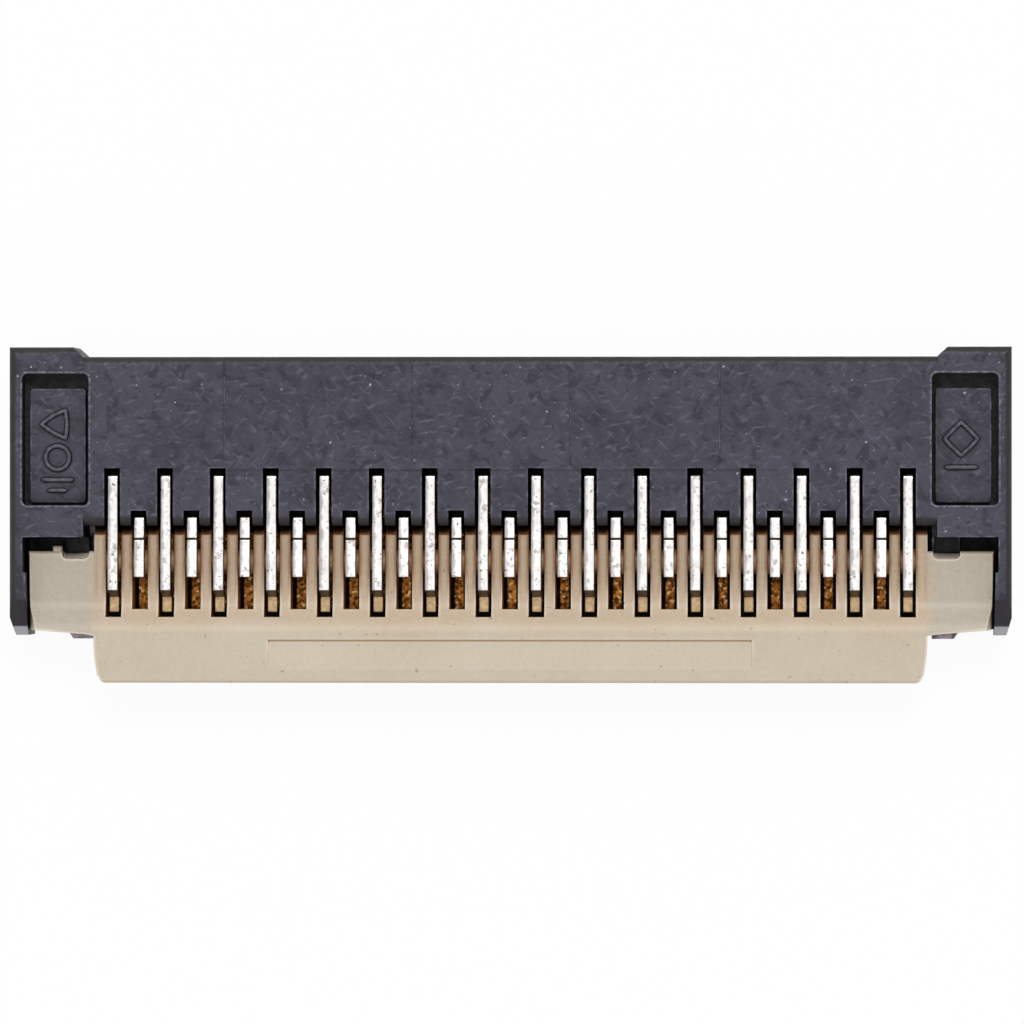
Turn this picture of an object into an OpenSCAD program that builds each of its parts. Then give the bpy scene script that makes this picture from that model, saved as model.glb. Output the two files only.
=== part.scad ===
// Socket for a flat flexible cable, with a back-flip actuator.
// X runs along the row of contacts, +Y looks out of the cable mouth and +Z points away from the board.
// The lengths in the sections below are in millimetres. Inside the modules y = 0 is the face that stops
// the cable, and z = 0 is the board. Every node is then moved so that the origin is the centre of the base.

/* [Contact row] */
// Number of contacts, an odd number
contact_count = 31; // [5:2:51]
// Distance between the centres of two neighbouring contacts
pitch = 0.3; // [0.28:0.01:0.5]
// Thickness of the sheet that the contacts are stamped from
contact_t = 0.11; // [0.08:0.01:0.15]
// Gap on each side of a contact in its slot
contact_gap = 0.035; // [0.01:0.005:0.04]

/* [Cable] */
// Thickness of the cable's stiffened end
cable_t = 0.2; // [0.12:0.01:0.3]
// Height that the mouth has to spare over the cable
mouth_gap_z = 0.04; // [0.02:0.01:0.08]
// Gap between the cable's edge and each end of the mouth
mouth_gap_x = 0.03; // [0.01:0.01:0.06]
// How far the cable goes in
cable_depth = 1.79; // [1.5:0.01:2.4]

/* [Housing] */
// Thickness of the floor under the contacts
floor_t = 0.12; // [0.1:0.01:0.2]
// Thickness of the roof over the long contacts
roof_t = 0.08; // [0.06:0.01:0.15]
// Thickness of the wall that stops the cable
stop_wall_t = 0.12; // [0.1:0.01:0.2]
// Width of each end block
end_block_w = 0.84; // [0.75:0.01:1.2]
// How far the end blocks reach in front of the roof
end_block_front = 0.11; // [0.05:0.01:0.2]
// How far the end blocks reach behind the face that stops the cable
end_block_back = 0.25; // [0.22:0.01:0.32]
// How far the floor stays back from the roof's front edge, to show the long contacts' tails
floor_setback = 0.33; // [0.28:0.01:0.45]
// How far the floor reaches behind the hinge axis
floor_back = 0.77; // [0.7:0.01:0.95]
// Thickness of the side arms that flank the actuator
side_arm_t = 0.17; // [0.12:0.01:0.25]
// How far the side arms reach behind the end blocks
side_arm_len = 1.11; // [0.9:0.01:1.2]
// Radius of the rounded outer edges at the top
edge_r = 0.09; // [0.03:0.01:0.12]
// Depth of the pocket in each end block
pocket_depth = 0.13; // [0.05:0.01:0.2]
// Depth of the moat round the raised panel in the pocket
moat_depth = 0.28; // [0.2:0.01:0.3]

/* [Contacts] */
// Height of the lower beam
lower_beam_h = 0.18; // [0.12:0.01:0.24]
// Step from the lower beam up to the underside of the cable
cable_step = 0.06; // [0.03:0.01:0.1]
// Height of the upper spring arm at its root
arm_h = 0.16; // [0.1:0.01:0.2]
// Height of the rear arm where it starts
rear_arm_h = 0.13; // [0.1:0.01:0.18]
// How much higher the rear arm stands at its tip
rear_arm_rise = 0.045; // [0:0.005:0.06]
// Where the raised back of a long contact starts, in front of the stop face
long_back_y = 0.46; // [0.3:0.01:0.7]
// Where a long contact touches the cable, in front of the stop face
long_touch_y = 1.2; // [1.1:0.01:1.3]
// Where a short contact touches the cable, in front of the stop face
short_touch_y = 0.72; // [0.6:0.01:0.8]
// How far a short rear arm reaches behind the hinge axis
short_arm_reach = 0.17; // [0.1:0.01:0.3]
// Thickness of the hook at the end of a long rear arm
hook_t = 0.08; // [0.05:0.01:0.12]
// Length of the toe that reaches back from the hook
toe_len = 0.25; // [0.1:0.01:0.3]
// Thickness of the solder tails
tail_t = 0.1; // [0.08:0.01:0.12]
// Length of the solder tails
tail_len = 0.28; // [0.2:0.01:0.32]

/* [Actuator] */
// How far the lip reaches behind the hinge axis
lip_reach = 1.37; // [1.2:0.01:1.7]
// Width of the outermost rib, beside the last slot
end_rib_w = 0.13; // [0.1:0.01:0.2]
// Radial play of the cam bar between the contacts' arms
cam_gap = 0.02; // [0.01:0.005:0.03]
// Thickness of the cam bar across its long section
cam_t = 0.28; // [0.2:0.01:0.36]
// Gap between the ribs' round noses and the stop wall
nose_gap = 0.05; // [0.04:0.01:0.08]
// How far the ribs' tops lie below the lip's top
rib_drop = 0.14; // [0.1:0.01:0.16]
// Gap left between a long contact's toe and the end of its slot as the actuator turns
long_slot_gap = 0.035; // [0.03:0.005:0.1]
// Gap left between a short contact's tip and the end of its slot as the actuator turns
short_slot_gap = 0.09; // [0.05:0.005:0.2]
// How far the wings reach behind the hinge axis
wing_reach = 0.82; // [0.7:0.01:0.9]
// Gap between a wing and the side arm
wing_gap = 0.03; // [0.03:0.01:0.08]
// Radius of the journals that the actuator turns on
journal_r = 0.1; // [0.07:0.01:0.12]
// Radial gap between a journal and its saddle
journal_gap = 0.02; // [0.01:0.005:0.03]
// Width of the saddle under each journal
saddle_w = 0.27; // [0.2:0.01:0.35]

/* [Fitting nails] */
// Thickness of the fitting nails' sheet
nail_t = 0.12; // [0.08:0.01:0.12]
// Width of a fitting nail's foot
nail_w = 0.32; // [0.28:0.01:0.36]
// How far a fitting nail shows behind its wing
nail_show = 0.06; // [0:0.01:0.1]

/* [Hidden] */
$fn = 48;
tiny = 0.001;
far = 3;                                  // longer than any cut needs to be

// Names of the nodes
function two_digits(i) = str(i < 10 ? "0" : "", i);
function contact_name(i) = str("contact_", two_digits(i));

// Places along X
slot_w = contact_t + 2 * contact_gap;
row_half = (contact_count - 1) / 2 * pitch;
cable_w = (contact_count + 1) * pitch;
mouth_half = cable_w / 2 + mouth_gap_x;
outer_half = mouth_half + end_block_w;
body_half = row_half + slot_w / 2 + end_rib_w;
arm_taper = 0.03;                         // how much the side arms lean in towards their ends
arm_inner_half = outer_half - side_arm_t;
wing_half = arm_inner_half - wing_gap;
notch_side_gap = 0.02;
saddle_x = body_half + 0.08;              // inner side of the saddle
nail_x = body_half + 0.05;                // inner side of the nail's foot
function contact_x(i) = (i - (contact_count + 1) / 2) * pitch;
function is_long(i) = i % 2 == 1;

// Heights
lower_top_z = floor_t + lower_beam_h;
mouth_z0 = lower_top_z + cable_step;
mouth_z1 = mouth_z0 + cable_t + mouth_gap_z;
arm_z0 = mouth_z1 + 0.02;
arm_z1 = arm_z0 + arm_h;
groove_gap = 0.02;                        // room over the short contacts' spring arms
back_z = arm_z1 + rear_arm_h;             // top of the raised back where it starts
ceiling_z = back_z + 0.01;                // ceiling of the long contacts' grooves
housing_h = ceiling_z + roof_t;

// Hinge, cam and ribs
hinge_z = (lower_top_z + arm_z1) / 2;
cam_r = (arm_z1 - lower_top_z) / 2 - cam_gap;
nose_r = hinge_z - floor_t - 0.06;
hinge_y = -stop_wall_t - nose_gap - nose_r;
plate_top_z = hinge_z + nose_r + 0.02;
plate_z0 = lower_top_z + 0.04;
rib_top_z = plate_top_z - rib_drop;
lip_y = hinge_y - lip_reach;
ramp_y = hinge_y - (housing_h - hinge_z) + 0.03;      // front end of the ramp up to the lip's top
ramp_len = 0.38;
ramp_steps = 12;

// Contacts along Y
web_front = -0.04;
web_back = -0.2;
hook_in_y = hinge_y - cam_r - cam_gap;
long_tip_y = hook_in_y - hook_t;
short_tip_y = hinge_y - short_arm_reach;
tip_top_z = back_z + rear_arm_rise;
toe_y = long_tip_y - toe_len;
toe_z = arm_z1 - 0.08;                    // top of the toe
function sweep_r(y, z) = norm([y - hinge_y, z - hinge_z]);
long_sweep_r = max(sweep_r(long_tip_y, tip_top_z), sweep_r(toe_y, toe_z));
long_slot_y = hinge_y - long_sweep_r - long_slot_gap;
short_slot_y = hinge_y - sweep_r(short_tip_y, tip_top_z) - short_slot_gap;

// Housing along Y
front_y = cable_depth;
block_front_y = front_y + end_block_front;
block_back_y = -end_block_back;
floor_front_y = front_y - floor_setback;
floor_back_y = hinge_y - floor_back;
arm_end_y = block_back_y - side_arm_len;
long_notch_y = long_back_y + 0.07;        // front end of the openings over the long contacts
short_notch_y = 0.05;                     // front end of the openings over the short contacts
short_groove_y = short_touch_y + 0.4;     // front end of the short contacts' grooves

// Wings and their bearings
wing_top_z = hinge_z + (block_back_y - hinge_y) - 0.04;
wing_z0 = floor_t + 0.1;
wing_front_y = hinge_y + 0.12;
wing_back_y = hinge_y - wing_reach;
saddle_top_z = hinge_z - 0.06;
saddle_back_y = 2 * hinge_y - block_back_y;

// Fitting nails along Y and Z
nail_front_y = 1.25;
nail_back_y = wing_back_y - nail_show;
nail_blade_y = 0.15;
nail_blade_len = 1;
nail_blade_z = 0.6;

// The origin is the centre of the base
centre_y = (block_front_y + lip_y) / 2;

// Moves a node so that the origin is the centre of the base
module placed() {
    translate([0, -centre_y, 0])
        children();
}

// Makes a child at +X and its mirror image at -X
module both_ends() {
    children();
    mirror([1, 0, 0])
        children();
}

// Carries a Y-Z outline along X, from x0 over a width w
module along_x(x0, w) {
    translate([x0, 0, 0])
        rotate([90, 0, 90])
            linear_extrude(w)
                children();
}

// Carries an X-Z outline along Y, from y0 over a length l
module along_y(y0, l) {
    translate([0, y0 + l, 0])
        rotate([90, 0, 0])
            linear_extrude(l)
                children();
}

// Carries an X-Y outline up Z, from z0 over a height h
module along_z(z0, h) {
    translate([0, 0, z0])
        linear_extrude(h)
            children();
}

// A flat rectangle between two corners
module rect(a0, b0, a1, b1) {
    translate([a0, b0])
        square([a1 - a0, b1 - b0]);
}

// What rounding takes off the corner at (a, b); sa and sb point from the corner out of the shape
module corner_waste(a, b, r, sa, sb) {
    translate([a, b])
        scale_sign(sa, sb)
            difference() {
                translate([-r, -r])
                    square(2 * r);
                translate([-r, -r])
                    circle(r);
                rect(-r - tiny, -r - tiny, 0, -r);
                rect(-r - tiny, -r - tiny, -r, 0);
            }
}

// Turns an outline over so that its +a and +b sides face sa and sb
module scale_sign(sa, sb) {
    mirror([sa < 0 ? 1 : 0, 0])
        mirror([0, sb < 0 ? 1 : 0])
            children();
}

// ---------------------------------------------------------------- contacts

// Side view of the spring arm that presses on the cable, from the web to its round tip at touch_y
module spring_arm_outline(touch_y) {
    tip_r = 0.055;
    touch_z = mouth_z1 - 0.04;
    polygon([
        [web_back, arm_z0],
        [touch_y - 0.16, arm_z0],
        [touch_y - 0.04, touch_z + 0.025],
        [touch_y + tip_r, touch_z + tip_r],
        [touch_y + tip_r, touch_z + 0.1],
        [touch_y - 0.12, arm_z0 + 0.1],
        [0.1, arm_z1],
        [web_back, arm_z1]
    ]);
    translate([touch_y, touch_z + tip_r])
        circle(tip_r);
}

// Side view of the web that joins the lower beam to the upper arms, with filleted roots
module web_outline() {
    r = 0.06;
    rect(web_back, floor_t, web_front, arm_z1);
    difference() {
        rect(web_front - tiny, lower_top_z - tiny, web_front + r, lower_top_z + r);
        translate([web_front + r, lower_top_z + r])
            circle(r);
    }
    difference() {
        rect(web_front - tiny, arm_z0 - r, web_front + r, arm_z0 + tiny);
        translate([web_front + r, arm_z0 - r])
            circle(r);
    }
}

// Side view of the rear arm, from the start of its raised back to its tip
module rear_arm_outline(start_y, tip_y) {
    r = 0.04;
    difference() {
        polygon([
            [tip_y, arm_z1],
            [start_y, arm_z1 - 0.05],
            [start_y, back_z],
            [tip_y, tip_top_z]
        ]);
        corner_waste(start_y, back_z, r, 1, 1);
        rect(tip_y - tiny, arm_z1 - 0.1, web_back, arm_z1);
    }
}

// Side view of a long contact: hook over the cam, tail at the mouth
module long_outline() {
    leg_y = floor_front_y + 0.04;
    nub_y = hinge_y - cam_r - 0.26;
    slope_len = 0.08;
    toe_t = 0.08;
    rect(nub_y - 0.06, floor_t, leg_y + tail_t, lower_top_z);
    rect(leg_y, 0, leg_y + tail_t, lower_top_z);
    rect(leg_y, 0, leg_y + tail_len, tail_t);
    rect(nub_y - 0.05, lower_top_z - tiny, nub_y + 0.03, lower_top_z + 0.1);
    polygon([
        [long_touch_y - 0.14, lower_top_z - tiny],
        [long_touch_y + 0.1, lower_top_z - tiny],
        [long_touch_y + 0.02, mouth_z0 - 0.015],
        [long_touch_y - 0.06, mouth_z0 - 0.015]
    ]);
    web_outline();
    spring_arm_outline(long_touch_y);
    rear_arm_outline(long_back_y, long_tip_y);
    polygon([
        [long_tip_y + tiny, tip_top_z],
        [long_tip_y, tip_top_z],
        [long_tip_y - slope_len, toe_z],
        [toe_y, toe_z],
        [toe_y, toe_z - toe_t],
        [long_tip_y, arm_z1 - 0.12 - toe_t / 2],
        [hook_in_y, arm_z1 - 0.12],
        [hook_in_y, arm_z1 + tiny],
        [long_tip_y + tiny, arm_z1 + tiny]
    ]);
}

// Side view of a short contact: plain rear arm, tail at the back
module short_outline() {
    leg_y = floor_back_y - 0.04;
    coin_y = -0.27;                       // coined line across the rear arm
    rect(leg_y - tail_t, floor_t, short_touch_y + 0.3, lower_top_z);
    rect(leg_y - tail_t, 0, leg_y, lower_top_z);
    rect(leg_y - tail_len - tail_t, 0, leg_y, tail_t);
    polygon([
        [short_touch_y - 0.14, lower_top_z - tiny],
        [short_touch_y + 0.1, lower_top_z - tiny],
        [short_touch_y + 0.02, mouth_z0 - 0.015],
        [short_touch_y - 0.06, mouth_z0 - 0.015]
    ]);
    web_outline();
    spring_arm_outline(short_touch_y);
    difference() {
        rear_arm_outline(-0.01, short_tip_y);
        polygon([
            [coin_y - 0.03, tip_top_z],
            [coin_y + 0.03, tip_top_z],
            [coin_y, back_z - 0.005]
        ]);
    }
}

// Contact number i, counted from -X
module contact(i) {
    color([0.86, 0.84, 0.8])
        placed()
            along_x(contact_x(i) - contact_t / 2, contact_t)
                if (is_long(i))
                    long_outline();
                else
                    short_outline();
}

// ---------------------------------------------------------------- housing

// Side view of the housing between its end blocks, uncut
module middle_outline() {
    lead_in = 0.07;
    difference() {
        union() {
            rect(-stop_wall_t, mouth_z1, front_y, housing_h);
            rect(-stop_wall_t, 0, 0, housing_h);
            rect(floor_back_y, 0, floor_front_y, floor_t);
            rect(-tiny, 0, floor_front_y, mouth_z0);
        }
        corner_waste(front_y, housing_h, edge_r, 1, 1);
        corner_waste(-stop_wall_t, housing_h, stop_wall_t, -1, 1);
        polygon([
            [front_y + tiny, mouth_z1 - tiny],
            [front_y - lead_in, mouth_z1 - tiny],
            [front_y + tiny, mouth_z1 + lead_in]
        ]);
        polygon([
            [floor_front_y + tiny, mouth_z0 + tiny],
            [floor_front_y - lead_in, mouth_z0 + tiny],
            [floor_front_y + tiny, mouth_z0 - lead_in]
        ]);
    }
}

// Low comb at the back of the floor that keeps the lower beams apart
module floor_comb() {
    comb_half = body_half - 0.07;
    along_x(-comb_half, 2 * comb_half)
        rect(floor_back_y, 0, hinge_y - nose_r - 0.06, lower_top_z);
}

// Side view of the slot for a long contact, open at the front, the back and over its raised back
module long_slot_outline() {
    rect(-far, floor_t, far, ceiling_z);
    rect(-far, floor_t, long_notch_y, housing_h + tiny);
}

// Side view of the slot for a short contact, closed at the front
module short_slot_outline() {
    rect(-far, floor_t, short_groove_y, arm_z1 + groove_gap);
    rect(-far, floor_t, short_notch_y, housing_h + tiny);
}

// All the slots that hold the contacts
module contact_slots() {
    for (i = [1:contact_count])
        along_x(contact_x(i) - slot_w / 2, slot_w)
            if (is_long(i))
                long_slot_outline();
            else
                short_slot_outline();
}

// Plan of the end block at +X, with the slanted side of the mouth
module end_block_plan() {
    polygon([
        [mouth_half, block_back_y],
        [outer_half, block_back_y],
        [outer_half, block_front_y],
        [mouth_half + 0.12, block_front_y],
        [mouth_half + 0.02, front_y + 0.02],
        [mouth_half, front_y - tiny]
    ]);
}

// End block at +X, with its outer edges rounded
module end_block() {
    intersection() {
        along_z(0, housing_h)
            end_block_plan();
        along_y(block_back_y, block_front_y - block_back_y)
            difference() {
                rect(mouth_half, 0, outer_half, housing_h);
                corner_waste(outer_half, housing_h, edge_r, 1, 1);
            }
        along_x(mouth_half, end_block_w)
            difference() {
                rect(block_back_y, 0, block_front_y, housing_h);
                corner_waste(block_front_y, housing_h, edge_r, 1, 1);
            }
    }
}

// Flat rectangle with rounded corners, between two corners
module round_rect(a0, b0, a1, b1, r) {
    difference() {
        rect(a0, b0, a1, b1);
        corner_waste(a0, b0, r, -1, -1);
        corner_waste(a1, b0, r, 1, -1);
        corner_waste(a0, b1, r, -1, 1);
        corner_waste(a1, b1, r, 1, 1);
    }
}

// Pocket in the top of the end block at +X, with a moat round a raised panel
module pocket() {
    in_x = mouth_half - 0.06;
    out_x = outer_half - 0.15;
    back_y = 0.11;
    top_y = block_front_y - 0.3;
    along_z(housing_h - pocket_depth, pocket_depth + tiny)
        round_rect(in_x, back_y, out_x, top_y, 0.06);
    along_z(housing_h - moat_depth, moat_depth + tiny)
        difference() {
            round_rect(in_x, back_y, out_x, top_y, 0.06);
            round_rect(in_x + 0.04, back_y + 0.03, out_x - 0.08, top_y - 0.17, 0.03);
        }
}

// Side arm at +X and the floor that joins it to the end block
module side_arm() {
    slope_len = 0.4;
    bevel_len = 0.1;
    slope_drop = 0.14;
    intersection() {
        along_z(0, housing_h)
            polygon([
                [arm_inner_half, block_back_y + tiny],
                [outer_half, block_back_y + tiny],
                [outer_half, arm_end_y + 0.2],
                [outer_half - 0.06, arm_end_y],
                [arm_inner_half - arm_taper, arm_end_y]
            ]);
        along_x(arm_inner_half - arm_taper, side_arm_t + arm_taper)
            polygon([
                [arm_end_y, 0],
                [block_back_y + tiny, 0],
                [block_back_y + tiny, housing_h],
                [arm_end_y + slope_len, housing_h],
                [arm_end_y + bevel_len, housing_h - slope_drop],
                [arm_end_y, housing_h - slope_drop - bevel_len]
            ]);
        along_y(arm_end_y, side_arm_len + tiny)
            difference() {
                rect(mouth_half, 0, outer_half, housing_h);
                corner_waste(outer_half, housing_h, edge_r, 1, 1);
            }
    }
    along_z(0, floor_t)
        rect(mouth_half - tiny, floor_back_y, arm_inner_half + tiny, block_back_y + tiny);
}

// Relief in the root of the side arm at +X
module arm_relief() {
    along_z(floor_t, housing_h)
        round_rect(arm_inner_half - 0.1, block_back_y - 0.4, arm_inner_half + 0.02, block_back_y, 0.015);
}

// Saddle at +X that carries the actuator's journal
module saddle() {
    along_x(saddle_x, saddle_w)
        difference() {
            rect(saddle_back_y, nail_t, block_back_y + tiny, saddle_top_z);
            translate([hinge_y, hinge_z])
                circle(journal_r + journal_gap);
        }
}

// Room under the housing at +X for the fitting nail's foot and blade
module nail_room() {
    gap = 0.01;
    translate([nail_x, -far, -tiny])
        cube([nail_w, far + nail_front_y + gap, nail_t + tiny]);
    translate([nail_x + nail_w - nail_t - gap, nail_blade_y - gap, 0])
        cube([nail_t + 2 * gap, nail_blade_len + 2 * gap, nail_blade_z + gap]);
}

// Moulded housing, one piece
module housing() {
    color([0.19, 0.18, 0.22])
        placed()
            difference() {
                union() {
                    along_x(-mouth_half - tiny, 2 * (mouth_half + tiny))
                        middle_outline();
                    floor_comb();
                    both_ends() {
                        end_block();
                        side_arm();
                        saddle();
                    }
                }
                contact_slots();
                both_ends() {
                    pocket();
                    arm_relief();
                    nail_room();
                }
            }
}

// ---------------------------------------------------------------- actuator

// Points of the smooth rise up to the lip's top, from the back to the front, for a surface at height z
function rise(t) = t * t * (3 - 2 * t);
function rise_points(z) = [
    for (k = [ramp_steps:-1:0])
        let (t = k / ramp_steps)
            [ramp_y - ramp_len * t, z + (plate_top_z - z) * rise(t)]
];

// Side view of a rib with its round nose, and of the plate behind it
module rib_outline() {
    lift_len = 0.3;
    lift_h = 0.2;
    edge = 0.04;
    brow_r = nose_r + nose_gap / 2;       // the nose stands out a little over the hinge
    intersection() {
        union() {
            translate([hinge_y, hinge_z])
                circle(nose_r);
            intersection() {
                translate([hinge_y, hinge_z])
                    circle(brow_r);
                rect(hinge_y, hinge_z, hinge_y + brow_r, rib_top_z);
            }
        }
        rect(hinge_y - nose_r, 0, hinge_y + brow_r, rib_top_z);
    }
    difference() {
        polygon(concat(
            [
                [hinge_y, plate_z0],
                [lip_y + lift_len, plate_z0],
                [lip_y, plate_z0 + lift_h],
                [lip_y, plate_top_z]
            ],
            rise_points(rib_top_z),
            [[hinge_y, rib_top_z]]
        ));
        corner_waste(lip_y, plate_top_z, edge, -1, 1);
    }
}

// Plan of the plate, whose sides curve in towards the lip
module plate_plan() {
    steps = 6;
    draw_in = 0.06;
    start_y = wing_back_y - 0.02;
    side = [
        for (k = [0:steps])
            let (t = k / steps)
                [body_half - draw_in * t * t, start_y + (lip_y - start_y) * t]
    ];
    difference() {
        polygon(concat(
            [[-body_half, hinge_y + far], [body_half, hinge_y + far]],
            side,
            [for (k = [steps:-1:0]) [-side[k][0], side[k][1]]]
        ));
        both_ends()
            corner_waste(body_half - draw_in, lip_y, 0.08, 1, -1);
    }
}

// Windows in the plate for the contacts' rear arms
module actuator_slots() {
    for (i = [1:contact_count]) {
        end_y = is_long(i) ? long_slot_y : short_slot_y;
        translate([contact_x(i) - slot_w / 2, end_y, 0])
            cube([slot_w, far, housing_h]);
    }
}

// Bar that joins the ribs and passes under the contacts' rear arms; it is taller than it is thick
module cam_bar() {
    end_r = cam_t / 2;
    along_x(-row_half - slot_w / 2 - tiny, 2 * (row_half + slot_w / 2 + tiny)) {
        rect(hinge_y - end_r, hinge_z - cam_r + end_r, hinge_y + end_r, hinge_z + cam_r - end_r);
        for (z = [hinge_z - cam_r + end_r, hinge_z + cam_r - end_r])
            translate([hinge_y, z])
                circle(end_r);
    }
}

// Wing at +X, cut clear of the saddle, with the journal that turns in it
module wing() {
    side_bevel = 0.06;
    skew = 0.05;
    notch_y = hinge_y + 0.03;
    notch_r = 0.06;
    notch_x = saddle_x - notch_side_gap;
    notch_w = saddle_w + 2 * notch_side_gap;
    root_x = body_half - 0.04;
    difference() {
        intersection() {
            along_z(wing_z0, plate_top_z - wing_z0)
                polygon([
                    [root_x, wing_front_y],
                    [wing_half, wing_front_y],
                    [wing_half - arm_taper, wing_back_y + skew],
                    [body_half + 0.1, wing_back_y],
                    [root_x, wing_back_y - skew / 2]
                ]);
            along_x(root_x, wing_half - root_x)
                difference() {
                    polygon(concat(
                        [
                            [wing_front_y, wing_top_z],
                            [wing_front_y, wing_z0],
                            [wing_back_y - skew, wing_z0],
                            [wing_back_y - skew, plate_top_z]
                        ],
                        rise_points(wing_top_z)
                    ));
                    corner_waste(wing_front_y, wing_top_z, 0.05, 1, 1);
                }
            along_y(wing_back_y - skew, wing_front_y - wing_back_y + skew)
                polygon([
                    [root_x, wing_z0],
                    [wing_half, wing_z0],
                    [wing_half, wing_top_z - side_bevel / 2],
                    [wing_half - arm_taper - side_bevel, plate_top_z],
                    [root_x, plate_top_z]
                ]);
        }
        along_x(notch_x, notch_w)
            rect(saddle_back_y - 0.02, 0, far, hinge_z - 0.02);
        along_z(0, housing_h)
            difference() {
                rect(notch_x, notch_y, notch_x + notch_w, far);
                corner_waste(notch_x, notch_y, notch_r, -1, -1);
                corner_waste(notch_x + notch_w, notch_y, notch_r, 1, -1);
            }
    }
    along_x(notch_x - tiny, notch_w + 2 * tiny)
        translate([hinge_y, hinge_z])
            circle(journal_r);
}

// Shallow field in the lip's top, deepest at its front edge
module lip_field() {
    half = body_half * 0.58;
    along_x(-half, 2 * half)
        polygon([
            [lip_y + 0.14, plate_top_z + tiny],
            [lip_y + 0.49, plate_top_z + tiny],
            [lip_y + 0.47, plate_top_z - 0.035]
        ]);
}

// Moulded actuator, one piece, in its closed position
module actuator() {
    color([0.8, 0.74, 0.65])
        placed() {
            difference() {
                union() {
                    intersection() {
                        along_x(-body_half, 2 * body_half)
                            rib_outline();
                        along_z(0, housing_h)
                            plate_plan();
                    }
                    both_ends()
                        wing();
                }
                actuator_slots();
                lip_field();
            }
            cam_bar();
        }
}

// ---------------------------------------------------------------- fitting nails

// Fitting nail at +X: a foot on the board and a blade pressed up into the end block
module fitting_nail() {
    color([0.75, 0.74, 0.72])
        placed() {
            along_z(0, nail_t)
                polygon([
                    [nail_x, nail_back_y],
                    [nail_x + nail_w - 0.07, nail_back_y],
                    [nail_x + nail_w, nail_back_y + 0.1],
                    [nail_x + nail_w, nail_front_y],
                    [nail_x, nail_front_y]
                ]);
            translate([nail_x + nail_w - nail_t, nail_blade_y, 0])
                cube([nail_t, nail_blade_len, nail_blade_z]);
        }
}

housing();
actuator();
mirror([1, 0, 0]) fitting_nail();  // fitting_nail_left
fitting_nail();  // fitting_nail_right
for (i = [1:contact_count])
    contact(i);
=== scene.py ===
"""The looks of a flat cable connector with a flip lock: its finishes, its moulded marks and a studio."""

import math

import bpy
import numpy as np
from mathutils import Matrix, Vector


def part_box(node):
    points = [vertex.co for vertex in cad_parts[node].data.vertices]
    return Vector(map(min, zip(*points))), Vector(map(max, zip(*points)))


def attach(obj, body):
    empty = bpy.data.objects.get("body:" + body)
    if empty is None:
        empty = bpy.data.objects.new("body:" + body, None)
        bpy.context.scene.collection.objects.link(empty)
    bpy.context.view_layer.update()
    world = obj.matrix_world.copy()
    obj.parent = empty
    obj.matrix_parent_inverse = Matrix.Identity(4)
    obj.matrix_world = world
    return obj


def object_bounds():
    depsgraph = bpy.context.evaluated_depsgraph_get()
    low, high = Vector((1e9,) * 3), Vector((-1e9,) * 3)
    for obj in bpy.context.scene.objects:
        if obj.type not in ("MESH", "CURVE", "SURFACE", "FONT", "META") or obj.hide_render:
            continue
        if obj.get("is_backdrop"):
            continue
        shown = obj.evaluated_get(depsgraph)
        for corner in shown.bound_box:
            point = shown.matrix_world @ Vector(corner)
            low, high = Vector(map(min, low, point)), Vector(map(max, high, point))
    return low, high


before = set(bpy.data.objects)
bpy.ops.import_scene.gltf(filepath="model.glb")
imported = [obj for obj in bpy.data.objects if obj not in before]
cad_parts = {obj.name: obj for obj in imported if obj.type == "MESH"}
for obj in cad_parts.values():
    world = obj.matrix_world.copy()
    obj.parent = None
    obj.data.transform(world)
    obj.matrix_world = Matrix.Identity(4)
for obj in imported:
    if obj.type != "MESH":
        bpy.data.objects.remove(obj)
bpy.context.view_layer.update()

bl_info = {
    "name": "Flat cable connector",
    "version": (1, 0, 0),
    "blender": (4, 5, 0),
    "location": "3D View > Sidebar > Connector",
    "description": "Finishes and fine moulding of a flat cable connector with a flip lock",
    "category": "Object",
}

MM = 0.001
CONTACTS = sorted(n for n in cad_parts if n.startswith("contact_"))
NAILS = sorted(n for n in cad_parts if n.startswith("fitting_nail_"))
SHORT_CONTACTS = CONTACTS[1::2]


def paint(red, green, blue):
    """A colour written as it shows on a screen, 0 to 255 a channel, as the shader's linear light."""
    shown = np.array((red, green, blue)) / 255.0
    linear = np.where(shown <= 0.04045, shown / 12.92, ((shown + 0.055) / 1.055) ** 2.4)
    return tuple(float(c) for c in linear)


def colour(name, description, default):
    """A colour setting."""
    return bpy.props.FloatVectorProperty(
        name=name, description=description, default=default,
        subtype="COLOR", size=3, min=0.0, max=1.0)


def length(name, description, default, low=0.0, high=0.1):
    """A length setting, in metres."""
    return bpy.props.FloatProperty(
        name=name, description=description, default=default,
        min=low, max=high, unit="LENGTH", subtype="DISTANCE", precision=6)


def share(name, description, default, low=0.0, high=1.0):
    """A plain number setting."""
    return bpy.props.FloatProperty(
        name=name, description=description, default=default, min=low, max=high, subtype="FACTOR")


# ---------------------------------------------------------------- settings


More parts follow.
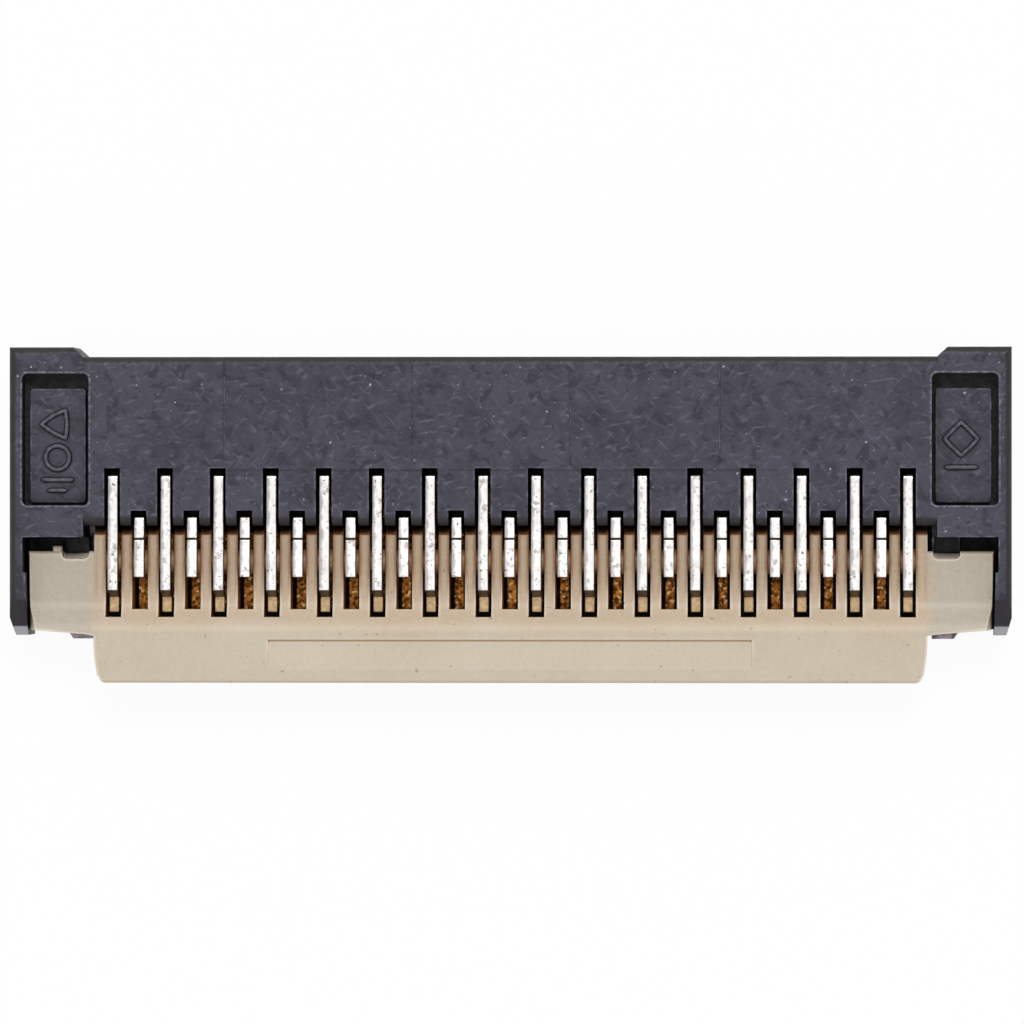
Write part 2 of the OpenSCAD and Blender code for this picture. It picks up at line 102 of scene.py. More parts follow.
class HousingSettings(bpy.types.PropertyGroup):
    """Black glass-filled plastic of the housing."""

    body: colour("Body", "Main colour of the plastic", paint(51, 50, 62))
    pale: colour("Pale patches", "Colour of the paler patches", paint(64, 63, 76))
    dark: colour("Dark patches", "Colour of the darker patches", paint(36, 35, 46))
    fleck: colour("Flecks", "Colour of the glass fibres at the skin", paint(88, 87, 101))
    # painted shade: the side skin colour darkens the rounded edges and the sides, as shade falls there.
    skin: colour(
        "Side skin", "Colour of the resin-rich skin on rounded edges and sides", paint(40, 36, 39))
    # The pale worn edges are partly wear and partly painted highlight.
    worn: colour("Worn edges", "Colour of the edges that are rubbed pale", paint(122, 121, 134))
    # painted shade: the colour of the shade deep in the slots and pockets.
    cavity_shade: colour("Cavities", "Colour deep in the slots and pockets", paint(5, 4, 7))
    roughness: share("Roughness", "Roughness of the moulded skin", 0.5)
    fibre_size: length("Fibre size", "Length of one glass fibre fleck", 0.15 * MM)
    edge: length("Edge", "Radius over which the moulded edges are worn round", 0.02 * MM)


class ActuatorSettings(bpy.types.PropertyGroup):
    """Natural, uncoloured plastic of the flip lock."""

    lip: colour("Lip", "Colour of the thick lip", paint(197, 186, 166))
    # The foot and rib colours are partly the plastic's own warmer tone and partly painted shade between
    # the contacts.
    under: colour(
        "Foot of the ribs", "Colour of the plate between the ribs and the lip", paint(194, 173, 147))
    rib: colour("Ribs", "Colour along the middle of the thin ribs", paint(192, 168, 141))
    amber: colour(
        "Rib edges", "Colour of the ribs' edges, where light passes through", paint(156, 112, 72))
    # painted glow: light passing through the thin slot walls.
    wall_glow: colour("Slot walls", "Colour of the slots' walls", paint(176, 116, 58))
    # painted highlight: the colour of the thin edges catching the light.
    rim: colour("Rims", "Colour of the thin edges", paint(238, 224, 204))
    # The wings' darker colour is painted shade.
    wing: colour("Wings", "Colour of the two end wings", paint(180, 170, 155))
    roughness: share("Roughness", "Roughness of the moulded skin", 0.42)
    edge: length("Edge", "Radius over which the moulded edges are worn round", 0.03 * MM)


class MetalSettings(bpy.types.PropertyGroup):
    """Plated copper alloy of the contacts and the fitting nails."""

    tin: colour("Plating", "Colour of the worn plating on top", paint(216, 213, 211))
    # The rubbed colour is also painted shade on the left side of each contact's top.
    rubbed: colour(
        "Rubbed plating", "Colour of the rubbed and rolled-over side of the tops",
        paint(140, 136, 138))
    # The dull colour is painted shade on the sloping and side faces of the contacts.
    dull: colour("Dull metal", "Colour of the sheared and sloping faces", paint(92, 78, 66))
    tan: colour("Toes", "Colour of the metal just below the tops", paint(170, 146, 114))
    gold: colour("Gold", "Colour of the plating deep in the slots", paint(204, 134, 62))
    tail: colour("Tails", "Colour of the tinned solder tails", paint(184, 178, 174))
    nail: colour("Nails", "Colour of the dull plating on the fitting nails", paint(150, 142, 150))
    roughness: share("Roughness", "Roughness of the plating", 0.36)
    toe_level: length("Toe level", "Height under which the plating is tan", 0.76 * MM)
    gold_level: length("Gold level", "Height under which the plating is gold", 0.58 * MM)
    tail_level: length("Tail level", "Height under which the tails are tinned", 0.2 * MM)


class MarkSettings(bpy.types.PropertyGroup):
    """Plain moulded marks, mould lines and burrs on the housing."""

    stroke: length("Stroke", "Width of the raised marks in the pockets", 0.062 * MM)
    relief: length("Relief", "How far the marks stand up", 0.04 * MM)
    panel_drop: length("Panel drop", "Depth of the pockets' raised panels under the roof", 0.13 * MM)
    rim: length("Rim", "Width of the flash round the pockets", 0.026 * MM)
    line: length("Mould line", "Width of the mould lines on the roof", 0.022 * MM)
    burr: length("Burr", "Length of the burrs beside the notches", 0.05 * MM)


class StudioSettings(bpy.types.PropertyGroup):
    """Lamps, floor and camera."""

    distance: length("Camera distance", "From the camera to the middle of the object", 100.0 * MM)
    lean: bpy.props.FloatProperty(
        name="Camera lean", description="How far the camera leans to the object's right",
        default=math.radians(2.5), subtype="ANGLE")
    view_width: length("View width", "Width of the picture at the object", 11.59 * MM)
    centre: bpy.props.FloatVectorProperty(
        name="Aim", description="The point that the camera looks at",
        default=(0.023 * MM, 0.034 * MM, 0.8 * MM), size=3, subtype="TRANSLATION", precision=6)
    key: share("Key lamp", "Strength of the main lamp", 1.5, 0.0, 10.0)
    floor_gap: length("Floor gap", "Gap that keeps the floor off the flat underside", 0.004 * MM)
    room: share("Room light", "Strength of the light from all round", 0.55, 0.0, 10.0)


class ConnectorSettings(bpy.types.PropertyGroup):
    """All settings of the connector."""

    housing: bpy.props.PointerProperty(type=HousingSettings, name="Housing")
    actuator: bpy.props.PointerProperty(type=ActuatorSettings, name="Flip lock")
    metal: bpy.props.PointerProperty(type=MetalSettings, name="Metal")
    marks: bpy.props.PointerProperty(type=MarkSettings, name="Marks")
    studio: bpy.props.PointerProperty(type=StudioSettings, name="Studio")


# ---------------------------------------------------------------- material helpers


class Recipe:
    """Builds one node material: a few short words for the nodes that every finish needs."""

    def __init__(self, name):
        self.material = bpy.data.materials.new(name)
        self.material.use_nodes = True
        self.tree = self.material.node_tree
        self.tree.nodes.clear()
        self.place = self.add("TexCoord").outputs["Object"]
        self.shader = self.add("BsdfPrincipled")
        self.out = self.add("OutputMaterial")
        self.tree.links.new(self.shader.outputs[0], self.out.inputs["Surface"])

    def add(self, kind, **settings):
        node = self.tree.nodes.new("ShaderNode" + kind)
        for key, value in settings.items():
            setattr(node, key, value)
        return node

    def feed(self, socket, value):
        """A socket takes another node's output, or a fixed value."""
        if isinstance(value, bpy.types.NodeSocket):
            self.tree.links.new(value, socket)
        elif isinstance(value, (tuple, list)) and len(value) == 3 and socket.type == "RGBA":
            socket.default_value = (*value, 1.0)
        else:
            socket.default_value = value

    def sums(self, operation, a, b=0.0, c=0.0, clamp=False):
        node = self.add("Math", operation=operation, use_clamp=clamp)
        for socket, value in zip(node.inputs, (a, b, c)):
            self.feed(socket, value)
        return node.outputs[0]

    def axes(self, vector=None):
        """x, y and z of the place on the piece, in metres."""
        node = self.add("SeparateXYZ")
        self.feed(node.inputs[0], vector or self.place)
        return node.outputs

    def stretched(self, scale, turn=(0.0, 0.0, 0.0)):
        """The place for a pattern that is drawn out `scale` times along axes turned by `turn`."""
        node = self.add("Mapping", vector_type="TEXTURE")
        self.feed(node.inputs["Vector"], self.place)
        node.inputs["Scale"].default_value = scale
        node.inputs["Rotation"].default_value = turn
        return node.outputs[0]

    def noise(self, size, detail=2.0, vector=None, roughness=0.5, distortion=0.0):
        """Cloudy noise, 0 to 1, whose blobs are about `size` metres across."""
        node = self.add("TexNoise")
        node.inputs["Distortion"].default_value = distortion
        self.feed(node.inputs["Vector"], vector or self.place)
        node.inputs["Scale"].default_value = 1.0 / size
        node.inputs["Detail"].default_value = detail
        node.inputs["Roughness"].default_value = roughness
        return node.outputs["Fac"]

    def span(self, value, low, high, to_low=0.0, to_high=1.0, smooth=False):
        """value from low..high to to_low..to_high, clamped."""
        node = self.add("MapRange", interpolation_type="SMOOTHSTEP" if smooth else "LINEAR")
        for key, number in (("Value", value), ("From Min", low), ("From Max", high),
                            ("To Min", to_low), ("To Max", to_high)):
            self.feed(node.inputs[key], number)
        return node.outputs[0]

    def mix(self, share_, a, b, blend="MIX"):
        """Colour a turning into colour b as share_ goes from 0 to 1."""
        node = self.add("Mix", data_type="RGBA", blend_type=blend)
        self.feed(node.inputs[0], share_)
        self.feed(node.inputs[6], a)
        self.feed(node.inputs[7], b)
        return node.outputs[2]

    def round_edges(self, radius):
        """The normal with edges worn round, and 0 to 1 for how near an edge is."""
        bevel = self.add("Bevel", samples=8)
        bevel.inputs["Radius"].default_value = radius
        flat = self.add("NewGeometry").outputs["Normal"]
        dot = self.add("VectorMath", operation="DOT_PRODUCT")
        self.feed(dot.inputs[0], bevel.outputs[0])
        self.feed(dot.inputs[1], flat)
        near = self.span(dot.outputs["Value"], 0.995, 0.80, smooth=True)
        return bevel.outputs[0], near

    def product(self, *factors):
        """The product of several values."""
        total = factors[0]
        for factor in factors[1:]:
            total = self.sums("MULTIPLY", total, factor)
        return total

    def band(self, value, low, high, soft):
        """1 while value is in low..high, falling to 0 over `soft` on both sides."""
        return self.product(self.span(value, low - soft, low), self.span(value, high + soft, high))

    def nook(self, reach):
        """0 in a tight corner, 1 in the open."""
        node = self.add("AmbientOcclusion", samples=8, only_local=False)
        node.inputs["Distance"].default_value = reach
        return node.outputs["AO"]

    def bump(self, height, depth, normal=None, strength=1.0):
        node = self.add("Bump")
        node.inputs["Strength"].default_value = strength
        node.inputs["Distance"].default_value = depth
        self.feed(node.inputs["Height"], height)
        if normal is not None:
            self.feed(node.inputs["Normal"], normal)
        return node.outputs[0]

    def set(self, **inputs):
        """Sets the shader's sockets by name, with spaces written as underscores."""
        for key, value in inputs.items():
            self.feed(self.shader.inputs[key.replace("_", " ")], value)


def middle(node):
    """Middle of a CAD piece's box."""
    low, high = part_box(node)
    return (low + high) / 2


def finish(nodes, material):
    """The named CAD pieces take the material, in their own slots."""
    for name in nodes:
        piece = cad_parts[name]
        if not piece.material_slots:
            piece.data.materials.append(material)
        for slot in piece.material_slots:
            slot.link = "OBJECT"
            slot.material = material


# ---------------------------------------------------------------- the finishes


def black_plastic(look, high):
    """The housing's finish: mottled resin with glass fibres at the skin, dents with painted shade, pale
    edges that are partly wear and partly painted highlight, painted shade on the sides, on the back
    slopes of the side arms and in the cavities, and a painted highlight on the arms' back bevels.
    `high` is the highest corner of the housing's box."""
    make = Recipe("housing_black")
    x, y, _ = make.axes()
    aside = make.sums("ABSOLUTE", x)
    cloud = make.noise(0.6 * MM, 2.0)
    base = make.mix(make.span(cloud, 0.35, 0.65), tuple(look.body), tuple(look.pale))
    patch = make.noise(0.17 * MM, 2.0, distortion=0.6)
    base = make.mix(make.span(patch, 0.54, 0.62, 0.0, 0.75), base, tuple(look.pale))
    base = make.mix(make.span(patch, 0.44, 0.36, 0.0, 0.75), base, tuple(look.dark))
    dents = make.noise(0.075 * MM, 1.0, distortion=0.4)
    # The dents are also darkened: painted shade in the hollows, on top of the bump.
    base = make.mix(make.span(dents, 0.36, 0.26, 0.0, 0.7), base, tuple(look.dark))
    for turn, strength in ((0.15, 0.75), (0.9, 0.55), (2.3, 0.6)):
        along = make.stretched((3.2, 1.0, 1.0), (0.0, 0.0, turn))
        fleck = make.noise(look.fibre_size * 0.3, 0.0, along)
        fleck = make.span(fleck, 0.66, 0.84, 0.0, strength, smooth=True)
        base = make.mix(fleck, base, tuple(look.fleck))
    speck = make.product(
        make.span(make.noise(0.05 * MM, 0.0), 0.78, 0.86),
        make.span(make.noise(0.8 * MM, 1.0), 0.48, 0.62))
    base = make.mix(speck, base, paint(168, 168, 178))
    flat = make.add("NewGeometry").outputs["Normal"]
    _, sideways, upward = make.axes(flat)
    level = make.sums("ABSOLUTE", upward)
    normal, _ = make.round_edges(look.edge)
    _, near = make.round_edges(0.05 * MM)
    inland = make.product(
        make.span(y, high.y - 0.16 * MM, high.y - 0.3 * MM),
        make.span(aside, high.x - 0.09 * MM, high.x - 0.13 * MM),
        make.span(level, 0.9, 0.99))
    patchy = make.span(make.noise(0.11 * MM, 2.0), 0.4, 0.66, 0.0, 1.0)
    # Pale edges on the level faces: partly wear, partly a painted highlight where the edges catch the
    # light.
    base = make.mix(make.product(near, patchy, inland), base, tuple(look.worn))
    # painted shade: a dark line across the roof, standing in for the shade of a fine groove.
    line = make.product(
        make.band(y, 0.498 * MM, 0.512 * MM, 0.01 * MM),
        make.band(x, -3.2 * MM, 3.0 * MM, 0.1 * MM),
        make.span(make.noise(0.5 * MM), 0.3, 0.5, 0.1, 0.6))
    base = make.mix(line, base, paint(30, 29, 40))
    # painted shade: faces that are not level, the rounded edges and the sides, take the darker side skin
    # colour, with a ragged border.
    ragged = make.sums("MULTIPLY_ADD", make.noise(0.12 * MM), 0.06, level)
    base = make.mix(make.span(ragged, 1.025, 0.97), base, tuple(look.skin))
    # painted shade: the back slopes of the side arms, which face away from the light, are made near
    # black.
    painted_rear_shade = make.product(
        make.span(y, -0.86 * MM, -0.98 * MM), make.span(aside, 5.3 * MM, 5.4 * MM))
    base = make.mix(make.product(painted_rear_shade, 0.85), base, paint(30, 27, 34))
    # painted highlight: the bevels at the back ends of the side arms, which face backwards and up, are
    # made pale.
    painted_bevel_highlight = make.product(
        make.span(y, -1.25 * MM, -1.27 * MM), make.span(sideways, -0.3, -0.5),
        make.span(upward, 0.3, 0.5))
    base = make.mix(make.product(painted_bevel_highlight, 0.9), base, paint(176, 175, 181))
    # painted shade: deep in the slots and pockets the colour turns near black.
    open_air = make.nook(0.5 * MM)
    base = make.mix(make.span(open_air, 0.78, 0.42), base, tuple(look.cavity_shade))
    relief = make.sums("MULTIPLY_ADD", patch, 1.5, dents)
    make.set(
        Base_Color=base,
        Roughness=make.span(dents, 0.3, 0.7, look.roughness - 0.08, look.roughness + 0.1),
        Specular_IOR_Level=0.3,
        Normal=make.bump(relief, 0.008 * MM, normal, 0.8),
    )
    return make.material


class CONNECTOR_OT_housing(bpy.types.Operator):
    """Black glass-filled plastic: fibre flecks in a mottled skin, painted shade on the sides and in the
    cavities, worn edges partly with painted highlight
    """

    bl_idname = "connector.housing"
    bl_label = "Housing finish"

    def execute(self, context):
        look = context.scene.connector.housing
        finish(["housing"], black_plastic(look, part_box("housing")[1]))
        return {"FINISHED"}


class CONNECTOR_OT_actuator(bpy.types.Operator):
    """Natural plastic: warm and dark in the thin ribs, partly with painted shade, pale on the lip, with
    painted highlights on its edges and painted light through the slot walls
    """

    bl_idname = "connector.actuator"
    bl_label = "Flip lock finish"

    def execute(self, context):
        look = context.scene.connector.actuator
        pitch = middle(CONTACTS[1]).x - middle(CONTACTS[0]).x
        start = middle(CONTACTS[0]).x
        row = -start + pitch / 2
        make = Recipe("actuator_beige")
        x, y, _ = make.axes()
        aside = make.sums("ABSOLUTE", x)
        cloud = make.noise(0.9 * MM, 3.0)
        drift = make.sums("MULTIPLY_ADD", cloud, 0.3 * MM, y)
        # Towards the slots the colour turns from the lip to the foot and the ribs, darker and warmer:
        # partly the plastic's own tone, partly painted shade between the contacts; the amber on the
        # ribs' edges is painted light through them.
        lip_end = make.span(drift, -1.28 * MM, -0.98 * MM, smooth=True)
        base = make.mix(lip_end, tuple(look.lip), tuple(look.under))
        across = make.sums("WRAP", make.sums("SUBTRACT", x, start), pitch / 2, -pitch / 2)
        across = make.sums("ABSOLUTE", across)
        edgeward = make.span(across, pitch * 0.46, pitch * 0.31, smooth=True)
        edgeward = make.sums("MULTIPLY_ADD", make.noise(0.14 * MM), 0.5, edgeward)
        rib = make.mix(make.span(edgeward, 0.3, 1.1), tuple(look.rib), tuple(look.amber))
        inboard = make.span(aside, row + 0.1 * MM, row - 0.02 * MM)
        ribs = make.product(make.span(drift, -0.92 * MM, -0.62 * MM, smooth=True), inboard)
        base = make.mix(ribs, base, rib)
        # painted shade: the wings take a darker colour than the rest of the same plastic.
        outboard = make.span(aside, 4.62 * MM, 4.85 * MM, smooth=True)
        base = make.mix(outboard, base, tuple(look.wing))
        base = make.mix(make.span(cloud, 0.35, 0.7, 0.0, 0.2), base, paint(176, 156, 132))
        fine = make.noise(0.05 * MM, 3.0)
        base = make.mix(make.span(fine, 0.4, 0.75, 0.0, 0.15), base, paint(228, 218, 198))
        flat = make.add("NewGeometry").outputs["Normal"]
        level = make.sums("ABSOLUTE", make.axes(flat)[2])
        normal, _ = make.round_edges(look.edge)
        _, near = make.round_edges(0.065 * MM)
        # painted highlight: the edges behind the ribs and on the wings are made pale.
        behind = make.span(y, -0.6 * MM, -0.95 * MM, 0.12, 1.0)
        painted_edge_highlight = make.product(near, make.sums("MAXIMUM", behind, make.product(outboard, 0.9)))
        base = make.mix(painted_edge_highlight, base, tuple(look.rim))
        speck = make.span(make.noise(0.06 * MM, 0.0), 0.8, 0.86, 0.0, 0.5)
        base = make.mix(speck, base, paint(120, 108, 92))
        # painted glow: the slots' steep faces turn amber, as light passing through the thin plastic.
        walls = make.product(
            make.span(level, 0.8, 0.4), make.span(y, -1.5 * MM, -1.4 * MM), inboard)
        base = make.mix(walls, base, tuple(look.wall_glow))
        # painted shade: tight corners turn amber-brown.
        nook = make.nook(0.2 * MM)
        base = make.mix(make.span(nook, 0.5, 0.05, 0.0, 0.7), base, paint(120, 70, 30))
        make.set(
            Base_Color=base,
            Roughness=make.span(fine, 0.3, 0.7, look.roughness - 0.05, look.roughness + 0.1),
            Specular_IOR_Level=0.45,
            Subsurface_Weight=0.2,
            Subsurface_Radius=(1.0, 0.6, 0.3),
            Subsurface_Scale=0.12 * MM,
            Normal=make.bump(fine, 0.002 * MM, normal, 0.5),
        )
        finish(["actuator"], make.material)
        stub = rounded_block(
            "actuator_gate_stub", (-5.145 * MM, -0.385 * MM, 0.69 * MM),
            (0.055 * MM, 0.04 * MM, 0.08 * MM))
        adopt(stub, make.material, "flip")
        return {"FINISHED"}


class CONNECTOR_OT_metal(bpy.types.Operator):
    """Plated contacts, silvery and rubbed on top, with painted shade on one side of the tops, on the
    sloping faces and in the notches, golden deep in the slots with painted glints, and dull nails
    """

    bl_idname = "connector.metal"
    bl_label = "Metal finish"

    def execute(self, context):
        look = context.scene.connector.metal
        pitch = middle(CONTACTS[1]).x - middle(CONTACTS[0]).x
        start = middle(CONTACTS[0]).x
        half = (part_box(CONTACTS[0])[1].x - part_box(CONTACTS[0])[0].x) / 2
        make = Recipe("contact_metal")
        x, y, z = make.axes()
        across = make.sums("WRAP", make.sums("SUBTRACT", x, start), pitch / 2, -pitch / 2)
        across = make.sums("DIVIDE", across, half)
        streak = make.noise(0.035 * MM, 2.0, make.stretched((0.8, 4.0, 1.0)))
        scuff = make.noise(0.11 * MM, 3.0)
        grain = make.noise(0.04 * MM, 1.0)
        tin = make.mix(make.span(streak, 0.55, 0.8, 0.0, 0.5), tuple(look.tin), tuple(look.rubbed))
        # painted shade: the left side of each contact's top is made greyer, as the light falls, with
        # scuffs mixed in.
        side = make.sums("MULTIPLY_ADD", scuff, 1.6, across)
        tin = make.mix(make.span(side, 0.55, 0.1, 0.0, 0.75), tin, tuple(look.rubbed))
        blotch = make.product(make.span(scuff, 0.56, 0.66), make.span(grain, 0.42, 0.56))
        tin = make.mix(make.product(blotch, 0.7), tin, paint(126, 120, 118))
        pit = make.span(make.noise(0.032 * MM, 0.0), 0.74, 0.82, 0.0, 0.8)
        tin = make.mix(pit, tin, paint(70, 60, 56))
        gold = make.mix(make.span(grain, 0.36, 0.6), tuple(look.gold), paint(92, 52, 20))
        # painted highlight: bright glints scattered over the gold.
        painted_glint = make.span(make.noise(0.05 * MM, 0.0), 0.62, 0.72)
        gold = make.mix(painted_glint, gold, paint(252, 206, 140))
        toe = make.mix(make.span(grain, 0.4, 0.65, 0.0, 0.7), tuple(look.tan), paint(206, 176, 132))
        base = make.mix(make.span(z, look.toe_level, look.toe_level - 0.03 * MM), tin, toe)
        flat = make.add("NewGeometry").outputs["Normal"]
        upward = make.sums("ABSOLUTE", make.axes(flat)[2])
        # painted shade: the sloping and side faces of the contacts, turned from the light, take the dull
        # colour.
        base = make.mix(make.span(upward, 0.95, 0.7), base, tuple(look.dull))
        base = make.mix(make.span(z, look.gold_level, look.gold_level - 0.05 * MM), base, gold)
        tail = make.mix(make.span(scuff, 0.4, 0.65), tuple(look.tail), tuple(look.rubbed))
        base = make.mix(make.span(z, look.tail_level + 0.04 * MM, look.tail_level), base, tail)
        # painted shade: dark brown in tight corners and deep in the slots.
        open_air = make.nook(0.2 * MM)
        base = make.mix(make.span(open_air, 0.5, 0.15, 0.0, 0.85), base, paint(40, 24, 12))
        # painted shadow: the metal seen in the notches in front of the tops is made near black.
        notch_shadow = make.product(
            make.span(y, -0.12 * MM, -0.04 * MM), make.span(y, 1.3 * MM, 1.1 * MM),
            make.span(z, 0.84 * MM, 0.8 * MM), make.span(z, 0.4 * MM, 0.46 * MM))
        base = make.mix(notch_shadow, base, paint(14, 12, 14))
        normal, _ = make.round_edges(0.018 * MM)
        make.set(
            Base_Color=base,
            Metallic=1.0,
            Roughness=make.span(scuff, 0.3, 0.7, look.roughness - 0.06, look.roughness + 0.14),
            Normal=make.bump(streak, 0.004 * MM, normal, 0.7),
        )
        finish(CONTACTS, make.material)
        make = Recipe("nail_metal")
        scuff = make.noise(0.08 * MM, 3.0)
        normal, _ = make.round_edges(0.012 * MM)
        make.set(
            Base_Color=make.mix(make.span(scuff, 0.35, 0.65), tuple(look.nail), paint(104, 97, 103)),
            Metallic=1.0,
            Roughness=make.span(scuff, 0.3, 0.7, 0.3, 0.5),
            Normal=make.bump(scuff, 0.004 * MM, normal, 0.7),
        )
        finish(NAILS, make.material)
        return {"FINISHED"}


# ---------------------------------------------------------------- moulded marks


SECTION_POINTS = 12    # round a ridge
RING_POINTS = 48       # along a closed mark


def surface(name, grid, loop=False):
    """A closed mesh from points grid[row, column]: the columns run round a section and always close; the
    rows run along the piece and close on themselves too, or meet in a pole at each end."""
    rows, columns = grid.shape[:2]
    here = np.arange(rows * columns).reshape(rows, columns)
    beside = np.roll(here, -1, axis=1)
    ahead = np.roll(here, -1, axis=0)
    ahead_beside = np.roll(beside, -1, axis=0)
    kept = slice(None) if loop else slice(0, rows - 1)
    quads = np.stack([here[kept], ahead[kept], ahead_beside[kept], beside[kept]], axis=-1)
    quads = quads.reshape(-1, 4)
    points = grid.reshape(-1, 3)
    faces = quads.tolist()
    if not loop:
        points = np.vstack([points, grid[0].mean(axis=0), grid[-1].mean(axis=0)])
        first, last = np.full(columns, rows * columns), np.full(columns, rows * columns + 1)
        faces += np.stack([first, here[0], beside[0]], axis=-1).tolist()
        faces += np.stack([last, beside[-1], here[-1]], axis=-1).tolist()
    corners = points[quads]
    one, two = corners[:, 1] - corners[:, 0], corners[:, 2] - corners[:, 0]
    from_middle = corners[:, 0] - points.mean(axis=0)
    if (from_middle * np.cross(one, two)).sum() < 0:   # the faces look inwards
        faces = [face[::-1] for face in faces]
    mesh = bpy.data.meshes.new(name)
    mesh.from_pydata(points.tolist(), [], faces)
    mesh.polygons.foreach_set("use_smooth", np.ones(len(mesh.polygons), dtype=bool))
    piece = bpy.data.objects.new(name, mesh)
    bpy.context.scene.collection.objects.link(piece)
    return piece


def ridge(name, path, width, height, loop=False):
    """A low moulded ridge along a path. At path point p with side direction n the section is
    p + n (w/2) f cos a + up h f sin a for a in 0..2 pi, where f = 1 on a closed path, and on an open one
    f = sqrt(1 - (e/w)^2) within one width w of an end, e being how far into that end part p lies."""
    path = np.asarray(path, dtype=float)
    if loop:
        run = np.roll(path, -1, axis=0) - np.roll(path, 1, axis=0)
        full = np.ones(len(path))
    else:
        run = np.gradient(path, axis=0)
        steps = np.linalg.norm(np.diff(path, axis=0), axis=1)
        gone = np.concatenate([[0.0], np.cumsum(steps)])
        short = np.minimum(gone, gone[-1] - gone)
        full = np.sqrt(np.clip(1.0 - np.clip(1.0 - short / width, 0.0, 1.0) ** 2, 0.0025, 1.0))
    run /= np.linalg.norm(run, axis=1, keepdims=True)
    side = np.stack([-run[:, 1], run[:, 0], np.zeros(len(path))], axis=1)
    angle = np.linspace(0.0, 2.0 * np.pi, SECTION_POINTS, endpoint=False)
    out = full[:, None] * np.cos(angle)[None, :] * width / 2
    up = full[:, None] * np.sin(angle)[None, :] * height
    grid = path[:, None, :] + side[:, None, :] * out[..., None]
    grid[..., 2] += up
    return surface(name, grid, loop)


def rounded_block(name, centre, half, power=0.5):
    """A block with soft edges: x = a S(cos v) S(cos u), y = b S(cos v) S(sin u), z = c S(sin v), where
    S(t) = sign(t) |t|^power, u runs once round and v from pole to pole."""
    def soft(t):
        return np.sign(t) * np.abs(t) ** power
    v = np.linspace(-np.pi / 2, np.pi / 2, 11)[1:-1, None]
    u = np.linspace(0.0, 2.0 * np.pi, 16, endpoint=False)[None, :]
    grid = np.stack([
        centre[0] + half[0] * soft(np.cos(v)) * soft(np.cos(u)),
        centre[1] + half[1] * soft(np.cos(v)) * soft(np.sin(u)),
        centre[2] + half[2] * soft(np.sin(v)) * np.ones_like(u),
    ], axis=-1)
    return surface(name, grid)


def adopt(piece, material, body):
    """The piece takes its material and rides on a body."""
    piece.data.materials.append(material)
    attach(piece, body)


def rounded_rectangle(x0, y0, x1, y1, radius, height, steps=7):
    """Closed path: four quarter circles of `radius`, one at each corner, and the straight sides."""
    turn = np.linspace(0.0, np.pi / 2, steps)
    path = []
    for quarter, (x, y) in enumerate(((x1, y1), (x0, y1), (x0, y0), (x1, y0))):
        mid_x = x - radius if x == x1 else x + radius
        mid_y = y - radius if y == y1 else y + radius
        angle = turn + quarter * np.pi / 2
        path.append(np.stack([mid_x + radius * np.cos(angle), mid_y + radius * np.sin(angle),
                              np.full(steps, height)], axis=1))
    return np.concatenate(path)


def polygon_ring(x, y, size, sides, sharp, height, start=np.pi / 2):
    """Closed path round (x, y): r = size (1 - s + s sqrt(cos(pi/n)) / cos(t mod 2 pi/n - pi/n)), a
    circle for s = 0 and a polygon of n sides for s = 1."""
    t = np.linspace(0.0, 2.0 * np.pi, RING_POINTS, endpoint=False)
    fold = np.mod(t, 2.0 * np.pi / sides) - np.pi / sides
    r = size * (1.0 - sharp + sharp * np.sqrt(np.cos(np.pi / sides)) / np.cos(fold))
    level = np.full(RING_POINTS, height)
    return np.stack([x + r * np.cos(t + start), y + r * np.sin(t + start), level], axis=1)


def straight(a, b, steps=14):
    """Open path from a to b, with its points crowded to both ends."""
    share_ = (1.0 - np.cos(np.linspace(0.0, np.pi, steps)))[:, None] / 2.0
    return np.asarray(a) * (1.0 - share_) + np.asarray(b) * share_


